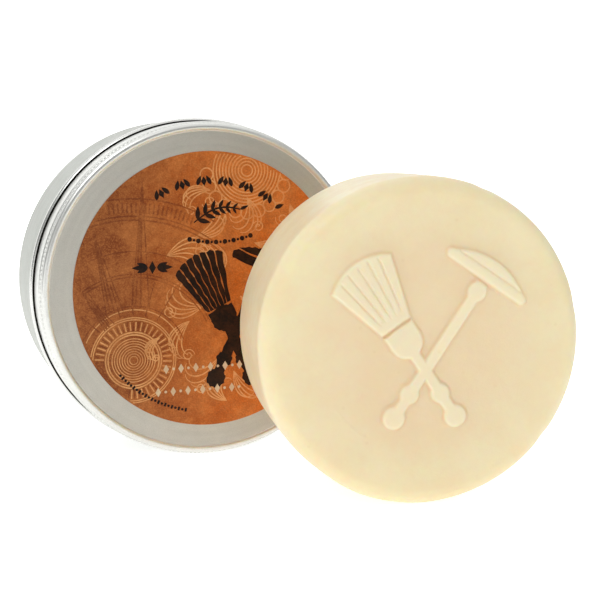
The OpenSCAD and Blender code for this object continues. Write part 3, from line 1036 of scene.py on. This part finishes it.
def makeLidPrint(look):
    pale, dark, black, beige = Print(), Print(), Print(), Print()
    middle = look["rosette"]
    rosette(pale, dark, *middle, look["rosetteSize"])
    for ink, r, width, start, end in look["rings"]:
        (pale if ink == "pale" else dark).line(circlePoints(*middle, r, start, end), width)
    for radii, start, step, count, width in look["spokes"]:
        for i in range(count):
            dark.line([polar(*middle, r, start + i * step) for r in radii], width)
    for needle in look["needles"]:
        compassSpike(dark, *needle)
    for r in np.arange(*look["ringedRadii"]):
        pale.line(circlePoints(*look["ringed"], r), 0.34)
    r, size, start, step, count = look["scallops"]
    for i in range(count):
        pale.line(circlePoints(*polar(*look["ringed"], r, start + i * step), size), 0.36)
    for scroll in look["scrolls"]:
        plume(pale, *scroll)
    # an arc of leaves, a sprig, a row of dots and a small fleuron in black
    r, *span = look["leafArc"]
    for i, a in enumerate(np.linspace(*span)):
        if i % 3 == 1:
            black.fill(lozenge(*polar(0, 0, r, a), 1.5, 2.5, a - 90))
        else:
            side = 60 if i % 3 == 0 else 120
            black.fill(leaf(*polar(0, 0, r - 0.9, a), 2.7, 1.15, a - 90 + side))
    sprig(black, *look["sprig"])
    r, *span = look["dotArc"]
    for i, a in enumerate(np.linspace(*span)):
        black.fill(disc(*polar(*look["dotMiddle"], r, a), 0.34 if i % 2 else 0.62))
    x, y = look["fleuron"]
    for side, start in ((0, x + 1.2), (180, x - 1.2)):
        for turn in (-24, 0, 24):
            black.fill(leaf(start, y, 4.3 - abs(turn) / 20, 1.3, side + turn))
    black.fill(lozenge(x, y, 1.8, 3.4))
    crossedTools(black, *look["tools"])
    for y, start, count in look["rows"]:
        for i in range(count):
            x = start + 2 * i
            beige.fill(disc(x, y, 0.36) if i % 2 else lozenge(x, y, 1.5, 2.5))
    # ticks and dots along the lower left edge
    middleR, *span = look["tickArc"]
    for i, a in enumerate(np.linspace(*span)):
        if i % 2:
            black.line([polar(0, 0, middleR + out, a) for out in (-0.5, 0, 0.5)], 0.55)
        else:
            black.fill(disc(*polar(0, 0, middleR, a), 0.34))
    return {"paleEngraving": pale, "darkEngraving": dark, "blackInk": black, "beigeInk": beige}


def makePaperColor():
    # the label's printed ground: brown on the left to orange on the right, clouded
    g, given, out = startGroup("printedGround", {}, ("Color",), "Color")
    where = given["Vector"]
    x = add(g, "ShaderNodeSeparateXYZ", Vector=where).outputs[0]
    look = labelLook
    across = between(g, x, look["turnsBrown"], look["turnsOrange"])
    color = blendColor(g, across, look["left"], look["right"])
    clouds = placeGroup(g, mottle, Vector=where, Patch_Size=look["cloudSize"], Break_Up=0.4)
    color = blendColor(g, times(g, clouds["Mask"], 0.4), color, look["light"])
    shade = placeGroup(g, mottle, Vector=where, Patch_Size=look["shadeSize"], Break_Up=0.6)
    color = blendColor(g, times(g, shade["Mask"], 0.45), color, look["dark"])
    fine = placeGroup(g, grain, Vector=where, Grain_Size=look["speckSize"], Specks=0.2)
    color = blendColor(g, between(g, fine["Height"], 0.45, 0.75, 0.0, 0.3), color, look["light"])
    plugAll(g, out, Color=color)
    return g


def makePrintMaterial(name, ink=None):
    m, t, where = newMaterial(name)
    color = placeGroup(t, printedGround, Vector=where)["Color"]
    if ink:
        inkColor, cover, patchy = ink
        fade = placeGroup(t, mottle, Vector=where, Patch_Size=labelLook["fadeSize"], Break_Up=0.45)
        share = minus(t, cover, times(t, fade["Mask"], cover * patchy))
        color = blendColor(t, share, color, inkColor)
    fibre = placeGroup(t, grain, Vector=where, Grain_Size=labelLook["fibreSize"], Specks=0.1)
    setSurface(t, Base_Color=color, Roughness=between(t, fibre["Height"], 0.3, 0.8, 0.4, 0.52),
               Normal=bumped(t, fibre["Height"], 0.15, 0.1 * mm), Specular_IOR_Level=0.16)
    return m


def makeLabel(name, low, high, radius, place, material):
    e = labelLook["edge"]
    outline = [(0, low), (radius * 0.6, low), (radius - e, low)]
    outline += arc(radius - e, low + e, e, -90, 0, 4)
    outline += arc(radius - e, high - e, e, 0, 90, 4) + [(radius * 0.6, high), (0, high)]
    return spun(name, outline, 256, place, material)


printedGround = makePaperColor()
labelMiddle = (lidLabelHigh + lidLabelLow) / 2
labelPlace = Matrix.Translation((labelMiddle.x - tinX, 0, labelMiddle.z - tinZ)) @ tinPlace
lidLabelR = (lidLabelHigh.x - lidLabelLow.x) / 2
lidLabel = makeLabel("lidLabel", panelTop, labelTop, lidLabelR, labelPlace, makePrintMaterial("printedPaper"))
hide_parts("lid_label")
lidPrint = [lidLabel]
for i, (name, layer) in enumerate(makeLidPrint(lidPrintLook).items()):
    height = labelTop + i * labelLook["inkStep"]
    lidPrint.append(layer.finish(name, labelPlace, height, makePrintMaterial(name, inks[name])))
for piece in lidPrint:
    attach(piece, "lid")
print("lid label made")


# Base label: ivory paper with a plain printed border

baseLook = {
    "paper": rgb(236, 226, 200), "stain": rgb(218, 203, 170), "speck": rgb(170, 140, 100),
    "ink": rgb(112, 62, 34),
    "rings": ((31.5, 0.7), (30.2, 0.3), (22.4, 0.3)),           # radius and width
    "leafR": 26.3, "dotR": 24, "leaves": 48, "cloudSize": 12 * mm, "fibreSize": 0.4 * mm,
}


def makeIvoryPaper(name, ink=None):
    m, t, where = newMaterial(name)
    clouds = placeGroup(t, mottle, Vector=where, Patch_Size=baseLook["cloudSize"], Break_Up=0.5)
    fibre = placeGroup(t, grain, Vector=where, Grain_Size=baseLook["fibreSize"], Specks=0.25)
    color = blendColor(t, times(t, clouds["Mask"], 0.3), baseLook["paper"], baseLook["stain"])
    color = blendColor(t, times(t, fibre["Speck"], 0.5), color, baseLook["speck"])
    if ink:
        color = blendColor(t, minus(t, 0.95, times(t, clouds["Fine"], 0.3)), color, ink)
    setSurface(t, Base_Color=color, Roughness=0.62, Normal=bumped(t, fibre["Height"], 0.2, 0.1 * mm))
    return m


def makeBasePrint(look):
    ink = Print()
    for r, width in look["rings"]:
        ink.line(circlePoints(0, 0, r), width)
    for i in range(look["leaves"]):
        a = 360 / look["leaves"] * i
        ink.fill(leaf(*polar(0, 0, look["leafR"], a), 3.2, 1.3, a + (40 if i % 2 else -40)))
        ink.fill(disc(*polar(0, 0, look["dotR"], a), 0.35))
    crossedTools(ink, 0, 0.5, 0.6, 34, 24)
    sprig(ink, 0, 14.5, 10)
    for y, half in ((-14.5, 9), (-16.5, 6)):
        ink.line([(-half, y), (0, y), (half, y)], 0.4, 0.6)
    return ink


basePlace = tinPlace @ Matrix.Rotation(math.pi, 4, "Y")          # local z out of the underside
baseOut, baseIn = baseLabelHigh.y - baseHigh.y, baseLabelLow.y - baseHigh.y
baseLabelR = (baseLabelHigh.x - baseLabelLow.x) / 2
baseLabel = makeLabel("baseLabel", baseIn, baseOut, baseLabelR, basePlace, makeIvoryPaper("ivoryPaper"))
brownInk = makeIvoryPaper("brownInk", baseLook["ink"])
basePrint = makeBasePrint(baseLook).finish("basePrint", basePlace, baseOut, brownInk)
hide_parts("base_label")
for piece in (baseLabel, basePrint):
    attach(piece, "tin")
print("base label made")


# Floor, light and camera

stageLook = {
    "paper": rgb(250, 250, 249), "paperGlow": 0.42, "paperSeen": 0.2,
    "sweepHalf": 2.5, "sweepBack": 1.0, "sweepCurve": 0.5,
    "backdrop": 1.0, "roomLight": 0.3,
    "keySize": 0.6, "keyPower": 2.55, "keyAt": (-0.55, -0.45, 0.8),
    "fillSize": 0.8, "fillPower": 0.6, "fillAt": (0.75, -0.75, 0.35),
    "topSize": 1.7, "topPower": 4.2, "topAt": (0.0, -0.1, 0.9),
    "sideSize": 0.5, "sidePower": 0.45, "sideAt": (-0.8, -0.5, 0.05),
    "lens": 70.3, "azimuth": -20.26, "elevation": 7.6, "distance": 0.2942, "aim": (0.0019, -0.0087, -0.0007),
}
low, high = Vector(cadBounds[0]), Vector(cadBounds[1])
middle = (low + high) / 2


def makeSweep(look):
    # a seamless paper sweep: flat under the object, curving up well behind it
    z, r, back = low.z - 0.02 * mm, look["sweepCurve"], look["sweepBack"]
    half = look["sweepHalf"]
    path = [(-half, z)] + arc(back - r, z + r, r, -90, 0, 24) + [(back, half)]
    verts = [(x, y, h) for y, h in path for x in (-half, half)]
    faces = [(2 * i, 2 * i + 1, 2 * i + 3, 2 * i + 2) for i in range(len(path) - 1)]
    mesh = bpy.data.meshes.new("paperSweep")
    mesh.from_pydata(verts, [], faces)
    mesh.shade_smooth()
    m = bpy.data.materials.new("whitePaper")
    t = nodeTree(m)
    # a little brighter to the camera than to the object
    seen = add(t, "ShaderNodeLightPath").outputs["Is Camera Ray"]
    glow = plus(t, look["paperGlow"], times(t, seen, look["paperSeen"]))
    setSurface(t, Base_Color=look["paper"], Roughness=0.9, Emission_Color=(1, 1, 1, 1),
               Emission_Strength=glow)
    mesh.materials.append(m)
    sweep = newObject("paperSweep", mesh)


def addSoftbox(name, size, power, at):
    light = bpy.data.lights.new(name, "AREA")
    light.shape, light.size, light.energy = "DISK", size, power
    lamp = newObject(name, light)
    lamp.location = middle + Vector(at)
    lamp.rotation_euler = (-Vector(at)).to_track_quat("-Z", "Y").to_euler()


def makeStudio(look):
    makeSweep(look)
    for name in ("key", "fill", "top", "side"):
        addSoftbox(name + "Softbox", look[name + "Size"], look[name + "Power"], look[name + "At"])
    world = bpy.data.worlds.new("whiteStudio")
    t = nodeTree(world)
    # the backdrop is pure white to the camera and lights the object more softly
    seen = add(t, "ShaderNodeLightPath").outputs["Is Camera Ray"]
    strength = plus(t, look["roomLight"], times(t, seen, look["backdrop"] - look["roomLight"]))
    sky = add(t, "ShaderNodeBackground", Color=(1, 1, 1, 1), Strength=strength)
    add(t, "ShaderNodeOutputWorld", Surface=sky.outputs[0])
    bpy.context.scene.world = world
    bpy.context.scene.view_settings.view_transform = "Standard"


def makeCamera(look):
    azimuth, elevation = math.radians(look["azimuth"]), math.radians(look["elevation"])
    level = math.cos(elevation)
    away = Vector((math.sin(azimuth) * level, -math.cos(azimuth) * level, math.sin(elevation)))
    aim = middle + Vector(look["aim"])
    data = bpy.data.cameras.new("studioCamera")
    data.lens, data.clip_start = look["lens"], 0.01
    camera = newObject("studioCamera", data)
    camera.location = aim + away * look["distance"]
    camera.rotation_euler = (-away).to_track_quat("-Z", "Y").to_euler()
    bpy.context.scene.camera = camera


makeStudio(stageLook)
makeCamera(stageLook)
print("studio made")

bpy.context.view_layer.update()
